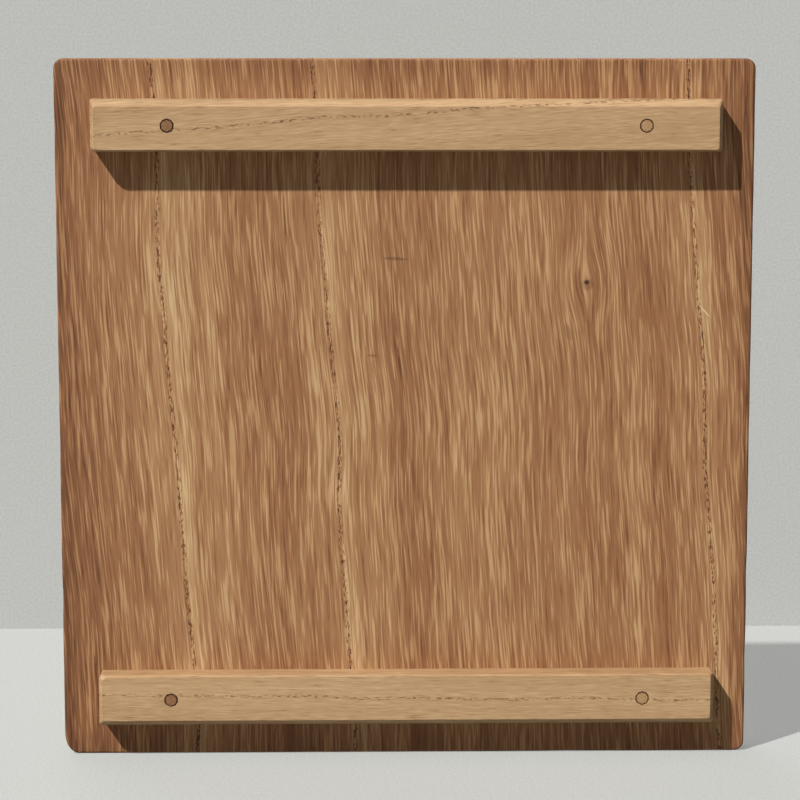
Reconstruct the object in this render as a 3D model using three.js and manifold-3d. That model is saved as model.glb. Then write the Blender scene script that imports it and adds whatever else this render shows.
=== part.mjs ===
// Square wooden lid of a small storage box, standing upright on its lower edge.
// Millimetres, +Z up. The inner face, with its two battens, looks along -Y; the outer face along +Y.
// The origin is the middle of the bottom of the whole lid.
// One board with upright grain is held flat by two cross battens, and each batten by two tapered pegs.

import * as THREE from 'three';
import { mergeVertices } from 'three/addons/utils/BufferGeometryUtils.js';
import Module from 'manifold-3d';

// The board, seen on its inner face.
const boardWidth = 160;
const boardHeight = 162;
const boardThickness = 9;
const innerArris = 0.5;
const outerArris = 1.2;
const cornerRadius = 2.3;
const wornCornerAcross = 3.4;
const wornCornerUp = 4.6;

// The battens. A ledge is the strip of board left bare for the box's wall.
const battenWidth = 11.9;
const battenProjection = 6;
const leftLedge = 8.7;
const rightLedge = 8.1;
const upperLedge = 9.1;
const lowerLedge = 8.2;
const leadInDepth = 1.2;
const upperLeadInWidth = 1.8;
const lowerLeadInWidth = 1.2;
const endBevelWidth = 0.9;
const innerSoftening = 0.4;
const battenCornerRadius = 0.6;
const nippedCornerRadius = 1.1;

// The pegs, whittled with flats and driven through each batten into the board.
const pegHeadRadius = 1.4;
const pegTipRadius = 0.8;
const pegReachIntoBoard = 6;
const pegFlats = 10;
const pegFromOuterSide = 6.1;
const upperPegFromEnd = 17.4;
const lowerPegFromEnd = 16.8;

// Fits and fineness.
const pegClearance = 0.25;
const cutOvershoot = 1;
const arcSteps = 6;
const arrisSteps = 4;
const smallestRadius = 0.05;

const wasm = await Module();
wasm.setup();

const wholeDepth = boardThickness + battenProjection;
const innerFaceY = battenProjection - wholeDepth / 2;
const battenLength = boardWidth - leftLedge - rightLedge;
const battenCentreX = (leftLedge - rightLedge) / 2;
const pegLength = battenProjection + pegReachIntoBoard;

// Paulownia heartwood of the board, browned with age.
const boardWood = { color: 0x97683f, roughness: 0.72, metalness: 0 };
// Paler paulownia of the battens.
const battenWood = { color: 0xc09a68, roughness: 0.68, metalness: 0 };
// Harder wood of the pegs: two have darkened.
const darkPegWood = { color: 0x9a6f4c, roughness: 0.6, metalness: 0 };
const palePegWood = { color: 0xb48c5f, roughness: 0.6, metalness: 0 };

const upperBatten = {
  name: 'upper_batten',
  outward: 1,
  centreZ: boardHeight - upperLedge - battenWidth / 2,
  leadInWidth: upperLeadInWidth,
  pegFromEnd: upperPegFromEnd,
  lowerLeftRadius: nippedCornerRadius,
  upperLeftRadius: battenCornerRadius,
};

const lowerBatten = {
  name: 'lower_batten',
  outward: -1,
  centreZ: lowerLedge + battenWidth / 2,
  leadInWidth: lowerLeadInWidth,
  pegFromEnd: lowerPegFromEnd,
  lowerLeftRadius: battenCornerRadius,
  upperLeftRadius: nippedCornerRadius,
};

// A rectangle with an elliptical round at each corner, anticlockwise from the lower left corner.
// Each corner has its reach across (X) and up (Z).
function roundedOutline({ left, right, bottom, top }, corners) {
  const places = [
    { x: left, z: bottom, towardX: 1, towardZ: 1, from: Math.PI },
    { x: right, z: bottom, towardX: -1, towardZ: 1, from: 1.5 * Math.PI },
    { x: right, z: top, towardX: -1, towardZ: -1, from: 0 },
    { x: left, z: top, towardX: 1, towardZ: -1, from: 0.5 * Math.PI },
  ];
  return places.flatMap((place, i) => {
    const { across, up } = corners[i];
    const centreX = place.x + place.towardX * across;
    const centreZ = place.z + place.towardZ * up;
    return Array.from({ length: arcSteps + 1 }, (_, step) => {
      const angle = place.from + (step / arcSteps) * 0.5 * Math.PI;
      return new THREE.Vector2(centreX + across * Math.cos(angle), centreZ + up * Math.sin(angle));
    });
  });
}

// The same corner after its sides have moved in by an inset.
function insetCorner(corner, inset) {
  return {
    across: Math.max(corner.across - inset, smallestRadius),
    up: Math.max(corner.up - inset, smallestRadius),
  };
}

// A closed skin over outlines of equal count, stacked from the front (low Y) to the back.
function loft(levels) {
  const count = levels[0].outline.length;
  const positions = [];
  const indices = [];
  for (const { y, outline } of levels) {
    for (const point of outline) positions.push(point.x, y, point.y);
  }
  for (let level = 0; level + 1 < levels.length; level += 1) {
    for (let i = 0; i < count; i += 1) {
      const next = (i + 1) % count;
      const front = level * count;
      const back = front + count;
      indices.push(front + i, back + next, front + next);
      indices.push(front + i, back + i, back + next);
    }
  }
  const caps = THREE.ShapeUtils.triangulateShape(levels[0].outline, []);
  const last = (levels.length - 1) * count;
  for (const [a, b, c] of caps) {
    indices.push(a, b, c);
    indices.push(last + c, last + b, last + a);
  }
  const geometry = new THREE.BufferGeometry();
  geometry.setAttribute('position', new THREE.Float32BufferAttribute(positions, 3));
  geometry.setIndex(indices);
  return geometry;
}

// Steps of a quarter-round arris: how far in, and how deep below the face.
function arrisLevels(radius) {
  return Array.from({ length: arrisSteps + 1 }, (_, step) => {
    const angle = (step / arrisSteps) * 0.5 * Math.PI;
    return { inset: radius * (1 - Math.sin(angle)), depth: radius * (1 - Math.cos(angle)) };
  });
}

// A solid for cutting and joining, from a closed geometry.
function solidFrom(geometry) {
  const bare = geometry.clone();
  bare.deleteAttribute('normal');
  bare.deleteAttribute('uv');
  const merged = mergeVertices(bare, 1e-4);
  const corners = merged.index.array;
  const triangles = [];
  for (let i = 0; i < corners.length; i += 3) {
    const [a, b, c] = [corners[i], corners[i + 1], corners[i + 2]];
    if (a !== b && b !== c && c !== a) triangles.push(a, b, c);
  }
  return new wasm.Manifold(new wasm.Mesh({
    numProp: 3,
    vertProperties: new Float32Array(merged.attributes.position.array),
    triVerts: new Uint32Array(triangles),
  }));
}

function geometryFrom(solid) {
  const mesh = solid.getMesh();
  const geometry = new THREE.BufferGeometry();
  geometry.setAttribute('position', new THREE.BufferAttribute(mesh.vertProperties, 3));
  geometry.setIndex(new THREE.BufferAttribute(mesh.triVerts, 1));
  geometry.computeVertexNormals();
  return geometry;
}

function pieceOf(name, solid, finish) {
  const piece = new THREE.Mesh(geometryFrom(solid), new THREE.MeshStandardMaterial(finish));
  piece.name = name;
  return piece;
}

// A tapered pin along Y with its head at the front. Grown by a clearance, it is the hole for that pin.
function taperedPin({ grow, overshoot }) {
  const taper = (pegHeadRadius - pegTipRadius) / pegLength;
  const headRadius = pegHeadRadius + grow + taper * overshoot;
  const tipRadius = pegTipRadius + grow;
  const profile = [
    new THREE.Vector2(0, -overshoot),
    new THREE.Vector2(headRadius, -overshoot),
    new THREE.Vector2(tipRadius, pegLength + grow),
    new THREE.Vector2(0, pegLength + grow),
  ];
  return solidFrom(new THREE.LatheGeometry(profile, pegFlats));
}

function pegPlaces(batten) {
  const reach = battenLength / 2 - batten.pegFromEnd;
  const z = batten.centreZ + batten.outward * (battenWidth / 2 - pegFromOuterSide);
  return [
    { side: 'left', x: battenCentreX - reach, z },
    { side: 'right', x: battenCentreX + reach, z },
  ];
}

function cutPegHoles(solid, batten) {
  const hole = taperedPin({ grow: pegClearance, overshoot: cutOvershoot });
  return pegPlaces(batten).reduce((rest, { x, z }) => {
    return rest.subtract(hole.translate([x, -wholeDepth / 2, z]));
  }, solid);
}

// The board: a square plate with softened arrises and one corner worn rounder than the others.
function makeBoard() {
  const plain = { across: cornerRadius, up: cornerRadius };
  const corners = [{ across: wornCornerAcross, up: wornCornerUp }, plain, plain, plain];
  const outlineAt = (inset) => roundedOutline({
    left: inset - boardWidth / 2,
    right: boardWidth / 2 - inset,
    bottom: inset,
    top: boardHeight - inset,
  }, corners.map((corner) => insetCorner(corner, inset)));
  const front = arrisLevels(innerArris).map(({ inset, depth }) => ({
    y: innerFaceY + depth,
    outline: outlineAt(inset),
  }));
  const back = arrisLevels(outerArris).reverse().map(({ inset, depth }) => ({
    y: innerFaceY + boardThickness - depth,
    outline: outlineAt(inset),
  }));
  const plate = solidFrom(loft([...front, ...back]));
  const bored = cutPegHoles(cutPegHoles(plate, upperBatten), lowerBatten);
  return pieceOf('lid_board', bored, boardWood);
}

// A batten: its outer long side and its ends lean in towards the face, to lead the lid into the box's mouth.
function makeBatten(batten) {
  const cornerOf = (radius) => ({ across: radius, up: radius });
  const corners = [
    cornerOf(batten.lowerLeftRadius),
    cornerOf(battenCornerRadius),
    cornerOf(battenCornerRadius),
    cornerOf(batten.upperLeftRadius),
  ];
  const outlineAt = ({ outer, inner, end }) => {
    const above = batten.outward > 0 ? outer : inner;
    const below = batten.outward > 0 ? inner : outer;
    return roundedOutline({
      left: battenCentreX - battenLength / 2 + end,
      right: battenCentreX + battenLength / 2 - end,
      bottom: batten.centreZ - battenWidth / 2 + below,
      top: batten.centreZ + battenWidth / 2 - above,
    }, corners);
  };
  const faceY = -wholeDepth / 2;
  const partWay = 1 - innerSoftening / leadInDepth;
  const square = { outer: 0, inner: 0, end: 0 };
  const leaning = { outer: batten.leadInWidth * partWay, inner: 0, end: endBevelWidth * partWay };
  const atFace = { outer: batten.leadInWidth, inner: innerSoftening, end: endBevelWidth };
  const bar = solidFrom(loft([
    { y: faceY, outline: outlineAt(atFace) },
    { y: faceY + innerSoftening, outline: outlineAt(leaning) },
    { y: faceY + leadInDepth, outline: outlineAt(square) },
    { y: innerFaceY, outline: outlineAt(square) },
  ]));
  return pieceOf(batten.name, cutPegHoles(bar, batten), battenWood);
}

// The pegs of one batten, their heads flush with its face.
function makePegs(batten) {
  const prefix = batten.name.replace('batten', 'peg');
  return pegPlaces(batten).map(({ side, x, z }) => {
    const finish = side === 'left' ? darkPegWood : palePegWood;
    const peg = pieceOf(`${prefix}_${side}`, taperedPin({ grow: 0, overshoot: 0 }), finish);
    peg.position.set(x, -wholeDepth / 2, z);
    return peg;
  });
}

const lid = new THREE.Group();
lid.add(makeBoard());
for (const batten of [upperBatten, lowerBatten]) {
  const bar = new THREE.Group();
  bar.add(makeBatten(batten), ...makePegs(batten));
  lid.add(bar);
}

export default lid;
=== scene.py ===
# %% [markdown]
# This file dresses the square lid of a small wooden storage box. The lid stands on its lower edge, with its
# inner face and the two battens pegged to it towards the camera. The frame holds every solid at its real
# size and place. The work below gives those solids their finish, or puts a finer skin in the place of one,
# and moves none of them.

# %% Load the frame
import math
from functools import partial

import bpy
import numpy as np
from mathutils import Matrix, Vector


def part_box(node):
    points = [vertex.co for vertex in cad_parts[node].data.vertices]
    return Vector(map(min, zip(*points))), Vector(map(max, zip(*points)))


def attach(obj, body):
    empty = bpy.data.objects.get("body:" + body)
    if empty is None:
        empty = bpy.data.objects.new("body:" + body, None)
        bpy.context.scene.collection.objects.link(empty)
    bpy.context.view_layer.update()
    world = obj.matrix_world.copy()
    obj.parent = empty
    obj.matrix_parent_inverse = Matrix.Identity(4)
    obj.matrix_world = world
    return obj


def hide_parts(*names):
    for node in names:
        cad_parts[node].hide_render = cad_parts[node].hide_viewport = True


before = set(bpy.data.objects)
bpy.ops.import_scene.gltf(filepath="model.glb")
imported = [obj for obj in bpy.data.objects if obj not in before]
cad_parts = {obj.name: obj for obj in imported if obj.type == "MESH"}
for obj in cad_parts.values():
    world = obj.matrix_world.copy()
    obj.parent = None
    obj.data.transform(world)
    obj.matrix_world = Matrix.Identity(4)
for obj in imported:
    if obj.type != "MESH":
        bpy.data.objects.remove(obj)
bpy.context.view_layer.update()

MM = 0.001
print("nodes:", sorted(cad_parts))

# %% [markdown]
# A node finish is a net of small steps. Writing each step as a call that names its kind, what goes into it
# and its settings keeps a finish readable from top to bottom. Four helpers are enough: one turns a written
# colour into the values that the renderer adds up, one adds a node of any kind, one starts a material, and
# one puts an object into the scene.

# %% Helpers
def linear(hex_colour):
    """Colour written as sRGB hex, returned as linear red, green and blue with a full alpha."""
    parts = [int(hex_colour[i:i + 2], 16) / 255 for i in (1, 3, 5)]
    return [p / 12.92 if p <= 0.04045 else ((p + 0.055) / 1.055) ** 2.4 for p in parts] + [1.0]


def add(tree, kind, *values, at=None, output=0, stops=(), **settings):
    """Add one node and return one of its outputs.

    The values fill its first inputs in order, and at fills others by number. Each is a plain value or
    another node's output. A setting goes to the node's own property of that name, or else to the input of
    that name. Output is the number or the name of the one returned. Stops fill a ramp, each with its place
    from 0 to 1 and an sRGB hex or a plain tone.
    """
    node = tree.nodes.new("ShaderNode" + kind)
    filled = {**dict(enumerate(values)), **(at or {})}
    for name, value in settings.items():
        if hasattr(node, name):
            setattr(node, name, value)
        else:
            filled[name] = value
    for name, value in filled.items():
        if isinstance(value, bpy.types.NodeSocket):
            tree.links.new(value, node.inputs[name])
        else:
            node.inputs[name].default_value = value
    while stops and len(node.color_ramp.elements) < len(stops):
        node.color_ramp.elements.new(0.5)
    for i, (place, colour) in enumerate(stops):
        node.color_ramp.elements[i].position = place
        is_tone = not isinstance(colour, str)
        node.color_ramp.elements[i].color = (colour, colour, colour, 1.0) if is_tone else linear(colour)
    return node.outputs[output]


def start_material(name, roughness, specular):
    """A new material, its node tree and its shader, with the plain numbers set on the shader's sockets."""
    material = bpy.data.materials.new(name)
    material.use_nodes = True
    shader = material.node_tree.nodes["Principled BSDF"]
    shader.inputs["Roughness"].default_value = roughness
    shader.inputs["Specular IOR Level"].default_value = specular
    return material, material.node_tree, shader


def place_object(name, data):
    """Make an object of some data and put it into the scene."""
    thing = bpy.data.objects.new(name, data)
    bpy.context.collection.objects.link(thing)
    return thing


# %% [markdown]
# The camera looks down a little on the middle of the lid, from slightly to its left. It is far enough back
# that the lid's sides nearly run parallel. Distance and lens go together: the distance sets how much the
# lid narrows towards its foot, and the lens then sets its size in the picture.

# %% Camera
IMAGE_WIDTH_PX = 800
SENSOR_MM = 36.0
camera_distance = 550 * MM
camera_azimuth = math.radians(-1.0)
camera_elevation = math.radians(7.2)
camera_focal_px = 2370
camera_aim = Vector((-1.2, 0, 83.5)) * MM
NEAREST_SEEN_MM = 10

toward_camera = Vector((
    math.sin(camera_azimuth) * math.cos(camera_elevation),
    -math.cos(camera_azimuth) * math.cos(camera_elevation),
    math.sin(camera_elevation),
))
camera = place_object("camera", bpy.data.cameras.new("camera"))
camera.data.sensor_width = SENSOR_MM
camera.data.lens = camera_focal_px * SENSOR_MM / IMAGE_WIDTH_PX
camera.data.clip_start = NEAREST_SEEN_MM * MM
camera.location = camera_aim + camera_distance * toward_camera
camera.rotation_euler = toward_camera.to_track_quat("Z", "Y").to_euler()
bpy.context.scene.camera = camera
print("lens in mm:", round(camera.data.lens, 1))

# %% [markdown]
# The light comes from a lamp high on the left in front. It is far off and small, so the battens throw a
# crisp shadow, which is what shows their height. A soft even fill keeps the shadow readable, and the two
# together return a facing surface at about its written colour. A broad lamp at the back lights the outer
# face, for anyone who looks from behind.

# %% Lamps
def far_lamp(name, toward, energy, spread_degrees, colour):
    """A lamp so far off that its rays run parallel. Toward points at it, and spread softens its shadows."""
    lamp = place_object(name, bpy.data.lights.new(name, "SUN"))
    lamp.data.energy = energy
    lamp.data.angle = math.radians(spread_degrees)
    lamp.data.color = colour
    lamp.rotation_euler = Vector(toward).to_track_quat("Z", "Y").to_euler()
    return lamp


key = far_lamp("key", toward=(-6.2, -6.0, 9.4), energy=5.2, spread_degrees=1.6, colour=(1.0, 0.975, 0.94))
rear = far_lamp("rear", toward=(-0.5, 1.0, 0.45), energy=2.6, spread_degrees=50, colour=(1.0, 1.0, 1.0))
print("lamps:", key.data.energy, rear.data.energy)

# %% [markdown]
# The fill is the world itself, one even and slightly cool colour all round. It lights the lid weakly, and
# Light Path makes it brighter where the camera looks straight at it, so that the picture's background can be
# pale without more light on the wood.

# %% Fill
FILL_STRENGTH = 0.19
FILL_AS_SEEN = 0.55
FILL_COLOUR = (0.97, 0.98, 1.0, 1.0)
world = bpy.data.worlds.new("fill")
world.use_nodes = True
is_seen = add(world.node_tree, "LightPath", output="Is Camera Ray")
world_level = add(world.node_tree, "MapRange", is_seen, 0.0, 1.0, FILL_STRENGTH, FILL_AS_SEEN)
background = world.node_tree.nodes["Background"]
background.inputs["Color"].default_value = FILL_COLOUR
world.node_tree.links.new(world_level, background.inputs["Strength"])
bpy.context.scene.world = world
bpy.context.scene.view_settings.view_transform = "Standard"
print("fill:", FILL_STRENGTH)

# %% [markdown]
# Planed paulownia is a very light wood with wide open vessels. A planed face cuts them lengthwise, so the
# eye meets short pale and dark streaks about a third of a millimetre wide, crowded in some places and thin
# in others. Where a year ring's first wood comes to the face there is a row of dark pores with paler wood
# beside it. A picture could be laid on the face, but it would stop at the edges. Here the pattern is worked
# out from the place in the wood itself, so the rings run on over the edges and the streaks show as dots on
# end grain.

# %% The place in the wood
SMOOTH = {"interpolation_type": "SMOOTHSTEP"}
KNOT_FLATTENING = 0.6
STREAK_ROUGHNESS = 0.6


def blots(tree, place, size_mm, detail=1.0, roughness=0.5):
    """Noise in blots of size_mm, which is given across the grain, through the depth and along the grain."""
    scaled = add(tree, "VectorMath", place, size_mm, operation="DIVIDE")
    return add(tree, "TexNoise", Vector=scaled, Scale=1.0, Detail=detail, Roughness=roughness)


def grain_place(tree, look):
    """The place in millimetres, and how far across the bent grain, through it and along it that place lies.

    The place across is shifted by a lean along the grain, a slow wander and the tilt of the rings through
    the depth. Near a knot it is pressed together by a bell curve, which bends the streaks round the knot.
    """
    put = partial(add, tree)
    place = put("VectorMath", put("TexCoord", output="Object"), Scale=1 / MM, operation="SCALE")
    axes = put("SeparateXYZ", place).node.outputs
    across, depth, along = axes[look["across"]], axes["Y"], axes[look["along"]]
    wander = blots(tree, put("CombineXYZ", across, depth, along), look["wander_size"])
    for value, weight in ((along, look["lean"]), (wander, look["wander"]), (depth, look["ring_tilt"])):
        across = put("Math", value, weight, across, operation="MULTIPLY_ADD")
    across = put("Math", across, look["middle"] * look["lean"] + look["wander"] / 2, operation="SUBTRACT")
    for knot in look["knots"]:
        away = put("VectorMath", place, (knot["x"], 0, knot["z"]), operation="SUBTRACT")
        reach = knot["reach"]
        near = put("VectorMath", away, (1 / reach, 0, KNOT_FLATTENING / reach), operation="MULTIPLY")
        square = put("VectorMath", near, near, operation="DOT_PRODUCT", output="Value")
        bell = put("Math", math.exp(-1), square, operation="POWER")
        press = put("Math", bell, -knot["press"], operation="MULTIPLY")
        across = put("Math", put("SeparateXYZ", away), press, across, operation="MULTIPLY_ADD")
    return place, across, put("CombineXYZ", across, depth, along)


# %% [markdown]
# Three sizes of streak lie over each other, from broad soft bands to fine lines. The open vessels come on
# top as pale and dark marks. Each pair named for noise gives the values between which such a mark goes from
# none to full, so a narrow pair gives a crisp mark. The shift says how far crowding moves those values.

# %% Streaks and vessels
CROWD_NOISE = (0.30, 0.70)
CROWD_SHIFT = (-0.045, 0.055)
PALE_VESSEL_NOISE = (0.50, 0.68)
DARK_VESSEL_NOISE = (0.40, 0.30)


def streaks_and_vessels(tree, wood, tone, look):
    """Add to the tone the streaks, which are noise about one half, and the pale and dark vessels.

    A vessel shows where fine long noise rises or falls far enough. Slower noise shifts it up and down, so
    the pale vessels crowd together in places.
    """
    put = partial(add, tree)
    for size, strength, detail in look["streaks"]:
        noise = blots(tree, wood, size, detail, STREAK_ROUGHNESS)
        tone = put("Math", noise, strength, tone, operation="MULTIPLY_ADD")
    half = sum(strength for _, strength, _ in look["streaks"]) / 2
    tone = put("Math", tone, half, operation="SUBTRACT")
    vessels = blots(tree, wood, look["vessel_size"])
    crowd = put("MapRange", blots(tree, wood, look["crowd_size"]), *CROWD_NOISE, *CROWD_SHIFT, **SMOOTH)
    pale = put("MapRange", put("Math", vessels, crowd, operation="ADD"), *PALE_VESSEL_NOISE, **SMOOTH)
    dark = put("MapRange", vessels, *DARK_VESSEL_NOISE, **SMOOTH)
    tone = put("Math", pale, look["pale_vessels"], tone, operation="MULTIPLY_ADD")
    tone = put("Math", dark, -look["dark_vessels"], tone, operation="MULTIPLY_ADD")
    return tone, vessels


# %% [markdown]
# The wood of early spring has the widest pores. Where a year ring meets the face they stand in a row, about
# a millimetre wide, and the wood on one side of it is paler. A ring is one value of the place across
# the bent grain, so each row bends with the grain.

# %% Ring rows
ROW_CORE_MM = 0.2
PALE_BESIDE_MM = 1.4
PALE_REACH_MM = 2.2
PALE_CORE_MM = 0.4
PORE_NOISE = (0.52, 0.60)


def ring_rows(tree, wood, across, tone, look):
    """Add to the tone a row of dark pores along each ring, and the paler wood beside it."""
    put = partial(add, tree)
    rows = 0.0
    for ring in look["rings"]:
        off = put("Math", across, ring, operation="SUBTRACT")
        distance = put("Math", off, operation="ABSOLUTE")
        near = put("MapRange", distance, look["row_half"], ROW_CORE_MM, **SMOOTH)
        rows = put("Math", rows, near, operation="MAXIMUM")
        aside = put("Math", put("Math", off, PALE_BESIDE_MM, operation="SUBTRACT"), operation="ABSOLUTE")
        beside = put("MapRange", aside, PALE_REACH_MM, PALE_CORE_MM, **SMOOTH)
        tone = put("Math", beside, look["row_light"], tone, operation="MULTIPLY_ADD")
    pores = put("MapRange", blots(tree, wood, look["pore_size"]), *PORE_NOISE, **SMOOTH)
    rows = put("Math", rows, pores, operation="MULTIPLY")
    return put("Math", rows, -look["row_dark"], tone, operation="MULTIPLY_ADD"), rows


# %% [markdown]
# Handling has darkened the wood near its edges, and use has left small marks. The soil follows the distance
# to the nearest edge. Each mark is an oval, and the pair below gives the squares of the share of its size at
# which it starts and is full, so its outer half is soft.

# %% Soil and marks
SPOT_EDGE = (1.0, 0.25)


def soiled(tree, place, tone, look):
    """Darken the tone towards the edges: the nearness to each is a smooth step over the soil's reach."""
    put = partial(add, tree)
    axes = put("SeparateXYZ", place).node.outputs
    clean = 1.0
    for axis, low, high, reach in look["edges"]:
        from_low = put("Math", axes[axis], low, operation="SUBTRACT")
        from_high = put("Math", high, axes[axis], operation="SUBTRACT")
        inward = put("Math", from_low, from_high, operation="MINIMUM")
        clean = put("Math", clean, put("MapRange", inward, 0.0, reach, **SMOOTH), operation="MINIMUM")
    tone = put("Math", clean, look["edge_soil"], tone, operation="MULTIPLY_ADD")
    return put("Math", tone, look["edge_soil"], operation="SUBTRACT")


def marked(tree, place, colour, marks):
    """Lay small soft ovals over the colour: knot, flecks and scratch, each with its size, slant and tint."""
    put = partial(add, tree)
    for mark in marks:
        away = put("VectorMath", place, (mark["x"], 0, mark["z"]), operation="SUBTRACT")
        half_width, half_height = mark["half"]
        slanted = (1 / half_width, 0, mark["slant"] / half_width)
        a = put("VectorMath", away, slanted, operation="DOT_PRODUCT", output="Value")
        b = put("VectorMath", away, (0, 0, 1 / half_height), operation="DOT_PRODUCT", output="Value")
        square = put("Math", a, a, put("Math", b, b, operation="MULTIPLY"), operation="MULTIPLY_ADD")
        spot = put("MapRange", square, *SPOT_EDGE, 0.0, mark["strength"], **SMOOTH)
        tint = linear(mark["tint"])
        colour = put("Mix", at={0: spot, 6: colour, 7: tint}, data_type="RGBA", output=2)
    return colour


# %% [markdown]
# The parts come together in one number, the tone, which a ramp of six browns turns into colour. Planed soft
# wood without oil is matt. Its vessels catch the light as fine grooves, so they also drive the bump and
# make the roughness uneven.

# %% Planed paulownia
WOOD_SPECULAR = 0.3
GRAIN_DEPTH_MM = 0.12
GRAIN_STRENGTH = 0.35
VESSEL_GROOVE = 0.5
ROUGHNESS_NOISE = (0.3, 0.7)
SMOOTHER_BY = 0.08
ROUGHER_BY = 0.1


def paulownia(name, look):
    """Planed paulownia: a tone is summed up from its parts, and a ramp turns the tone into colour."""
    material, tree, shader = start_material(name, look["roughness"], WOOD_SPECULAR)
    put = partial(add, tree)
    place, across, wood = grain_place(tree, look)
    low, high = look["zones"][0][0], look["zones"][-1][0]
    zones = [((mm - low) / (high - low), tone) for mm, tone in look["zones"]]
    tone = put("ValToRGB", put("MapRange", across, low, high), stops=zones)
    tone, vessels = streaks_and_vessels(tree, wood, tone, look)
    tone, rows = ring_rows(tree, wood, across, tone, look)
    tone = soiled(tree, place, tone, look)
    colour = marked(tree, place, put("ValToRGB", tone, stops=look["colours"]), look["marks"])
    tree.links.new(colour, shader.inputs["Base Color"])
    grooves = put("Math", vessels, VESSEL_GROOVE, operation="MULTIPLY")
    height = put("Math", grooves, rows, operation="SUBTRACT")
    bump = put("Bump", Height=height, Strength=GRAIN_STRENGTH, Distance=GRAIN_DEPTH_MM * MM)
    tree.links.new(bump, shader.inputs["Normal"])
    reach = (look["roughness"] - SMOOTHER_BY, look["roughness"] + ROUGHER_BY)
    roughness = put("MapRange", vessels, *ROUGHNESS_NOISE, *reach, **SMOOTH)
    tree.links.new(roughness, shader.inputs["Roughness"])
    print(name, "has", len(tree.nodes), "nodes")
    return material


# %% [markdown]
# The board is heartwood that age has browned. It is golden beside the ring rows, darker in a band left of
# the middle, and darker and redder along the rim, where hands and the box have soiled it. A pin knot sits
# right of the middle, and a few flecks and a scratch show use. Zones and rings are given in millimetres
# across the board from its middle, places of marks in the frame's own X and Z, and sizes across, through
# and along the grain.

# %% Board finish
board_low, board_high = (np.array(corner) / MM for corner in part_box("lid_board"))
board_look = {
    "roughness": 0.72, "along": "Z", "across": "X", "middle": 81.0, "lean": 0.061, "ring_tilt": 0.35,
    "wander": 5.0, "wander_size": (90.0, 200.0, 55.0),
    "zones": [
        (-82.0, 0.38), (-75.44, 0.43), (-68.88, 0.48), (-59.04, 0.54), (-52.48, 0.60), (-44.28, 0.58),
        (-36.08, 0.50), (-26.24, 0.51), (-18.86, 0.56), (-11.48, 0.58), (-5.74, 0.56), (-2.952, 0.45),
        (1.64, 0.49), (16.4, 0.54), (32.8, 0.53), (49.2, 0.51), (59.04, 0.48), (65.6, 0.56), (73.8, 0.49),
        (82.0, 0.40),
    ],
    "streaks": [
        ((6.0, 30.0, 150.0), 0.16, 2.0),
        ((1.3, 8.0, 45.0), 0.26, 3.0),
        ((0.45, 3.0, 18.0), 0.32, 2.0),
    ],
    "crowd_size": (6.0, 20.0, 30.0), "vessel_size": (0.33, 0.33, 9.0),
    "pale_vessels": 0.22, "dark_vessels": 0.12,
    "rings": (-54.2, -17.1, 69.0), "pore_size": (0.28, 0.28, 1.1),
    "row_half": 0.75, "row_dark": 0.40, "row_light": 0.08,
    "knots": [{"x": 41.8, "z": 110.9, "reach": 5.0, "press": 0.75}],
    "edges": [
        ("X", board_low[0], board_high[0], 6.0),
        ("Z", board_low[2], board_high[2], 9.0),
    ],
    "edge_soil": 0.10,
    "colours": [
        (0.00, "#371E11"), (0.25, "#633E25"), (0.43, "#875B3B"), (0.55, "#996E4A"), (0.72, "#B08A61"),
        (1.00, "#CDAE84"),
    ],
    "marks": [
        {"x": 41.8, "z": 110.9, "half": (0.75, 0.65), "slant": 0.0, "strength": 0.95, "tint": "#2A170D"},
        {"x": 41.9, "z": 110.4, "half": (2.0, 1.6), "slant": 0.0, "strength": 0.35, "tint": "#5A351C"},
        {"x": 37.6, "z": 99.4, "half": (1.2, 2.4), "slant": 0.3, "strength": 0.30, "tint": "#5F3B22"},
        {"x": -2.4, "z": 116.4, "half": (3.2, 0.5), "slant": 3.0, "strength": 0.45, "tint": "#4C2E1A"},
        {"x": -7.6, "z": 94.0, "half": (1.6, 0.35), "slant": 1.0, "strength": 0.40, "tint": "#4C2E1A"},
        {"x": 69.0, "z": 104.3, "half": (0.3, 1.8), "slant": 0.9, "strength": 0.7, "tint": "#DDC09A"},
    ],
}
board_wood = paulownia("planed paulownia heartwood, aged", board_look)

# %% [markdown]
# The battens are cut from paler and straighter wood of the same kind, with the grain along their length.
# The streaks are finer and weaker, and one thin dark row of pores wanders along each batten, so each gets
# the place and slope of its own row.

# %% Batten finish
def batten_look(low, high, ring, slope):
    """The look of the batten between two corners, its ring row at a height above the floor and a slope."""
    bottom, top = low[2], high[2]
    tones = ((0.0, 0.52), (0.35, 0.57), (0.6, 0.54), (1.0, 0.51))
    return {
        "roughness": 0.68, "along": "X", "across": "Z", "middle": 0.0, "lean": slope, "ring_tilt": 0.25,
        "wander": 2.6, "wander_size": (40.0, 60.0, 26.0),
        "zones": [(bottom + share * (top - bottom), tone) for share, tone in tones],
        "streaks": [
            ((2.6, 12.0, 90.0), 0.16, 2.0),
            ((0.8, 4.0, 26.0), 0.20, 3.0),
            ((0.3, 1.5, 9.0), 0.16, 2.0),
        ],
        "crowd_size": (3.0, 10.0, 20.0), "vessel_size": (0.30, 0.30, 4.5),
        "pale_vessels": 0.10, "dark_vessels": 0.12,
        "rings": (ring,), "pore_size": (0.30, 0.30, 1.2),
        "row_half": 0.45, "row_dark": 0.30, "row_light": 0.02,
        "knots": [], "marks": [],
        "edges": [("X", low[0], high[0], 1.6), ("Z", bottom, top, 0.8)], "edge_soil": 0.10,
        "colours": [
            (0.00, "#4E331F"), (0.25, "#805F40"), (0.45, "#A3825D"), (0.58, "#B4936D"), (0.80, "#C8AC85"),
            (1.00, "#D8C4A2"),
        ],
    }


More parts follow.
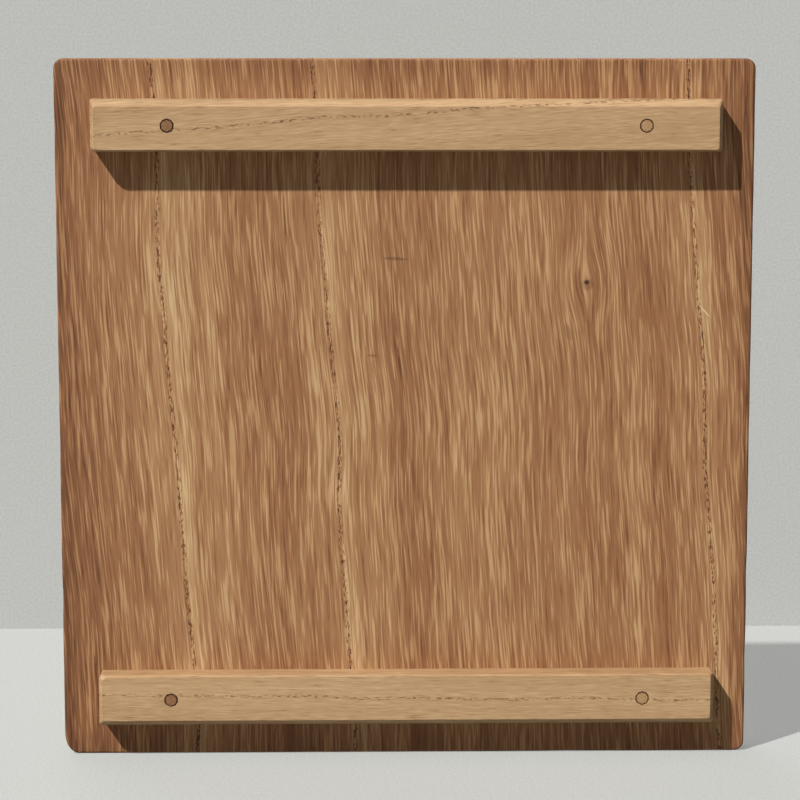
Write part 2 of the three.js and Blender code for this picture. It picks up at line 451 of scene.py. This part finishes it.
upper_low, upper_high = (np.array(corner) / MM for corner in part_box("upper_batten"))
lower_low, lower_high = (np.array(corner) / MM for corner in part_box("lower_batten"))
upper_look = batten_look(upper_low, upper_high, ring=147.6, slope=-0.062)
lower_look = batten_look(lower_low, lower_high, ring=12.7, slope=0.010)
upper_wood = paulownia("planed paulownia, pale, upper batten", upper_look)
lower_wood = paulownia("planed paulownia, pale, lower batten", lower_look)

# %% [markdown]
# The pegs are split from a harder, denser wood and whittled. Only their heads show: end grain cut flush
# with the batten, with fine rings and a colour that darkens towards the rim, next to the gap round each
# peg. The two on the left have darkened more than the two on the right.

# %% Peg finish
PEG_ROUGHNESS = 0.6
PEG_RING_RATE = 7.0
PEG_RING_TONE = 0.09
PEG_DOT_SIZE_MM = (0.22, 4.0, 0.22)
PEG_DOT_DETAIL = 2.0
RIM_STARTS_MM = 1.0
RIM_ENDS_MM = 1.4
RIM_TONE = -0.28
PEG_PORE_DEPTH_MM = 0.1
PEG_PORE_STRENGTH = 0.3
DARK_PEG = [(0.15, "#432A1B"), (0.45, "#80583B"), (0.8, "#A47B59")]
PALE_PEG = [(0.15, "#6E5133"), (0.45, "#A37F58"), (0.8, "#BC9A70")]


def peg_wood(name, centre, colours):
    """End grain of a peg: a sine of the distance from a centre off to one side, plus dots, less the rim."""
    material, tree, shader = start_material(name, PEG_ROUGHNESS, WOOD_SPECULAR)
    put = partial(add, tree)
    place = put("VectorMath", put("TexCoord", output="Object"), Scale=1 / MM, operation="SCALE")
    away = put("VectorMath", place, (centre.x, 0, centre.z), operation="SUBTRACT")
    flat = put("VectorMath", away, (1, 0, 1), operation="MULTIPLY")
    radius = put("VectorMath", flat, operation="LENGTH", output="Value")
    eccentric = put("Math", radius, put("SeparateXYZ", flat), operation="ADD")
    rings = put("Math", put("Math", eccentric, PEG_RING_RATE, operation="MULTIPLY"), operation="SINE")
    dots = blots(tree, place, PEG_DOT_SIZE_MM, PEG_DOT_DETAIL)
    tone = put("Math", rings, PEG_RING_TONE, dots, operation="MULTIPLY_ADD")
    # The peg's colour darkens over its outer 0.4 mm, towards the rim.
    rim = put("MapRange", radius, RIM_STARTS_MM, RIM_ENDS_MM, **SMOOTH)
    tone = put("Math", rim, RIM_TONE, tone, operation="MULTIPLY_ADD")
    tree.links.new(put("ValToRGB", tone, stops=colours), shader.inputs["Base Color"])
    bump = put("Bump", Height=dots, Strength=PEG_PORE_STRENGTH, Distance=PEG_PORE_DEPTH_MM * MM)
    tree.links.new(bump, shader.inputs["Normal"])
    return material


# %% [markdown]
# The board is a plate with a rounded arris all round, handled for many years. A beveled block would do for
# a sharp new one, but here the arris is worn a little more in one place than in the next, and the faces
# keep the low wave that a plane leaves. So the board is one skin with two parameters. One runs round a
# rounded outline, and the other goes from the middle of the front out over the arris, across the side and
# back in to the middle of the back.

# %% Rounded outlines
ARC_SHARE = 0.12
SMALLEST_ROUND_MM = 0.02


def rounded_outline(low, high, radii, inset, fractions):
    """Points round a rectangle with rounded corners, drawn in by an inset, at fractions of the way round.

    Each quarter of the way starts with one corner's arc, a quarter of an ellipse whose reaches shrink with
    the inset, and goes on along the side to the next corner in equal steps.
    """
    corner_x = np.array([low[0], high[0], high[0], low[0]])
    corner_z = np.array([low[1], low[1], high[1], high[1]])
    turn_x = np.array([1, -1, -1, 1])
    turn_z = np.array([1, 1, -1, -1])
    start = np.array([1.0, 1.5, 0.0, 0.5]) * np.pi
    reach = np.maximum(radii - inset, SMALLEST_ROUND_MM)
    middle_x = corner_x + turn_x * (inset + reach[:, 0])
    middle_z = corner_z + turn_z * (inset + reach[:, 1])
    corner = np.floor(fractions * 4).astype(int) % 4
    after = (corner + 1) % 4
    part = fractions * 4 - np.floor(fractions * 4)
    on_arc = np.minimum(part / ARC_SHARE, 1.0)
    on_side = np.maximum((part - ARC_SHARE) / (1 - ARC_SHARE), 0.0)
    angle = start[corner] + on_arc * 0.5 * np.pi
    x = middle_x[corner] + reach[corner, 0] * np.cos(angle)
    z = middle_z[corner] + reach[corner, 1] * np.sin(angle)
    next_x = middle_x[after] + reach[after, 0] * np.cos(start[after])
    next_z = middle_z[after] + reach[after, 1] * np.sin(start[after])
    return x + (next_x - x) * on_side, z + (next_z - z) * on_side


def waves(x, z, seed, size_mm, count=9):
    """A smooth uneven field, mostly between -1 and 1: a sum of sines of random direction and phase."""
    draw = np.random.default_rng(seed)
    turns = draw.normal(0, 1 / size_mm, (count, 2))
    phases = draw.uniform(0, 2 * np.pi, count)
    field = sum(np.sin(x * a + z * b + p) for (a, b), p in zip(turns, phases))
    return field / math.sqrt(count)


# %% [markdown]
# A level is one trip round the plate, with its inset from the edge and its depth. The steps crowd towards
# the arris, where the surface bends and light shows every facet, and are wide on the flat faces.

# %% Levels of a plate
PLANE_WAVE_MM = 0.05
ARRIS_STEPS = 7
CROWDING = 1.2


def plate_levels(front_y, back_y, front_arris, back_arris, half, face_steps):
    """Levels from the middle of the front to the middle of the back: inset, depth, wear and lift of each.

    On the front the inset falls from half the plate to the arris, and on the back it rises again. Over an
    arris, inset and depth follow a quarter of a circle. Only the arris and the side wear, and only the faces
    are lifted, always into the wood.
    """
    inward = half * (1 - np.linspace(0, 1, face_steps, endpoint=False)) ** CROWDING
    quarter = np.linspace(0, 0.5 * np.pi, ARRIS_STEPS)
    levels = [(front_arris + d, front_y, 0.0, PLANE_WAVE_MM) for d in inward]
    levels += [(front_arris * (1 - math.sin(a)), front_y + front_arris * (1 - math.cos(a)), 1.0, 0.0)
               for a in quarter]
    levels += [(back_arris * (1 - math.cos(a)), back_y - back_arris * (1 - math.sin(a)), 1.0, 0.0)
               for a in quarter]
    levels += [(back_arris + d, back_y, 0.0, -PLANE_WAVE_MM) for d in inward[::-1]]
    return levels


# %% [markdown]
# Wear and plane marks are added to the levels as smooth fields with a real size. The wear takes wood off in
# small patches. The plane's marks are five times longer along the board than across it.

# %% Rings of a plate
WEAR_SEED = 7
WEAR_SIZE_MM = 2.5
PLANE_SEED = 3
PLANE_SIZE_MM = 6.0
PLANE_STRETCH = 0.2


def plate_rings(low, high, radii, levels, points, wear_mm):
    """Points of every level, in the shape (levels, points, 3).

    Each outline is drawn in towards the plate's middle by the square of an uneven field times the wear, and
    its depth is lifted by a field that is stretched along the board, as the strokes of a plane are.
    """
    fractions = np.arange(points) / points
    centre = (low + high) / 2
    reach = high - centre
    rings = []
    for inset, depth, worn, lift in levels:
        x, z = rounded_outline(low, high, radii, inset, fractions)
        amount = worn * wear_mm * (0.5 + 0.5 * waves(x, z, WEAR_SEED, WEAR_SIZE_MM)) ** 2
        x = centre[0] + (x - centre[0]) * (1 - amount / reach[0])
        z = centre[1] + (z - centre[1]) * (1 - amount / reach[1])
        raised = 0.5 + 0.5 * waves(x, z * PLANE_STRETCH, PLANE_SEED, PLANE_SIZE_MM)
        rings.append(np.stack([x, depth + lift * np.clip(raised, 0, 1), z], -1))
    return np.array(rings)


# %% [markdown]
# The levels become a mesh by joining each point to its neighbours on its own ring and on the next. The
# middles of the front and the back are closed by a fan, so the skin has no hole and its faces point out.

# %% A skin over rings
def skin(name, rings):
    """A closed mesh over rings of equal count: quads from ring to ring, and a fan that shuts each end."""
    levels, points, _ = rings.shape
    verts = np.concatenate([rings.reshape(-1, 3), rings[0].mean(0)[None], rings[-1].mean(0)[None]])
    here = np.arange(points)
    beside = (here + 1) % points
    row = (np.arange(levels - 1) * points)[:, None]
    below = row + points
    quads = np.stack([row + here, below + here, below + beside, row + beside], -1).reshape(-1, 4)
    first_middle = levels * points
    last_row = first_middle - points
    front = np.stack([np.full(points, first_middle), here, beside], -1)
    back = np.stack([np.full(points, first_middle + 1), last_row + beside, last_row + here], -1)
    mesh = bpy.data.meshes.new(name)
    mesh.from_pydata((verts * MM).tolist(), [], quads.tolist() + front.tolist() + back.tolist())
    mesh.shade_smooth()
    mesh.update()
    return place_object(name, mesh)


# %% [markdown]
# The board's outer arris, at the back, is rounder than the inner one, and one lower corner is worn more than
# the other three. The skin takes its size from the frame's own board, which it then stands in for.

# %% Board
FRONT_ARRIS_MM = 0.6
BACK_ARRIS_MM = 1.3
FACE_REACH_MM = 78.0
FACE_STEPS = 40
OUTLINE_POINTS = 800
WEAR_MM = 0.06
corner_radii = np.array([(3.4, 4.6), (2.3, 2.3), (2.3, 2.3), (2.3, 2.3)])

board_levels = plate_levels(board_low[1], board_high[1], FRONT_ARRIS_MM, BACK_ARRIS_MM,
                            FACE_REACH_MM, FACE_STEPS)
board_rings = plate_rings(board_low[[0, 2]], board_high[[0, 2]], corner_radii, board_levels,
                          OUTLINE_POINTS, WEAR_MM)
board = skin("board", board_rings)
board.data.materials.append(board_wood)
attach(board, "root")
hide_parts("lid_board")
print("board faces:", len(board.data.polygons))

# %% [markdown]
# The battens and pegs keep the frame's own solids. Their bevels, tapered holes and the dark gap round each
# peg are already those of the real lid, so a second skin would only repeat them. They take their finish and
# nothing else.

# %% Battens and pegs
def finish_node(node, material):
    """Give a node's object one material."""
    item = bpy.context.scene.objects[node]
    item.data.materials.clear()
    item.data.materials.append(material)
    print(node, "is", material.name)


finish_node("upper_batten", upper_wood)
finish_node("lower_batten", lower_wood)
for batten in ("upper", "lower"):
    for side, colours in (("left", DARK_PEG), ("right", PALE_PEG)):
        node = f"{batten}_peg_{side}"
        low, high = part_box(node)
        finish_node(node, peg_wood("whittled hardwood, " + node, (low + high) / 2 / MM, colours))

# %% [markdown]
# The floor is a wide pale sheet of matt board, and the backdrop a second one standing on it behind the lid.
# The backdrop shows only from its front and lets the rear lamp through, so that the lid's outer face can be
# seen and lit from behind. A little of each sheet's paleness shows to the camera whatever shadow lies on
# it.

# %% Floor and backdrop
SEEN_PALE = 0.26
SEEN_COLOUR = (0.98, 1.0, 0.97, 1.0)
SHEET_ROUGHNESS = 0.9
SHEET_SPECULAR = 0.2
SPECKLES_PER_MM = 1.5
SHEET_MM = 1500.0
BACKDROP_Y_MM = 132.0


def pale_sheet(name, one_sided):
    """Matt board with faint speckles. A one-sided sheet is clear from behind and to rays towards a lamp."""
    material, tree, shader = start_material(name, SHEET_ROUGHNESS, SHEET_SPECULAR)
    put = partial(add, tree)
    speckle = put("TexNoise", put("TexCoord", output="Object"), Scale=SPECKLES_PER_MM / MM, Detail=2.0)
    pale = put("ValToRGB", speckle, stops=[(0.3, "#7B7D7B"), (0.7, "#8F918E")])
    tree.links.new(pale, shader.inputs["Base Color"])
    rays = put("LightPath").node.outputs
    seen = put("Math", rays["Is Camera Ray"], SEEN_PALE, operation="MULTIPLY")
    tree.links.new(seen, shader.inputs["Emission Strength"])
    shader.inputs["Emission Color"].default_value = SEEN_COLOUR
    if one_sided:
        behind = put("NewGeometry", output="Backfacing")
        clear = put("Math", behind, rays["Is Shadow Ray"], operation="MAXIMUM")
        mix = put("MixShader", clear, shader.outputs[0], put("BsdfTransparent"))
        tree.links.new(mix, tree.nodes["Material Output"].inputs["Surface"])
    return material


def flat_sheet(name, corners, material):
    """One flat rectangle through four corners in millimetres."""
    mesh = bpy.data.meshes.new(name)
    mesh.from_pydata((np.array(corners) * MM).tolist(), [], [(0, 1, 2, 3)])
    mesh.materials.append(material)
    sheet = place_object(name, mesh)
    print(name, "through", corners)


floor_corners = [(-SHEET_MM, -SHEET_MM, 0), (SHEET_MM, -SHEET_MM, 0),
                 (SHEET_MM, SHEET_MM, 0), (-SHEET_MM, SHEET_MM, 0)]
backdrop_corners = [(-SHEET_MM, BACKDROP_Y_MM, 0), (SHEET_MM, BACKDROP_Y_MM, 0),
                    (SHEET_MM, BACKDROP_Y_MM, SHEET_MM), (-SHEET_MM, BACKDROP_Y_MM, SHEET_MM)]
flat_sheet("floor", floor_corners, pale_sheet("matt pale board, floor", False))
flat_sheet("backdrop", backdrop_corners, pale_sheet("matt pale board, backdrop", True))

# %% [markdown]
# The finished lid has to fit the box of the solids.

# %% End
print("lid finished")
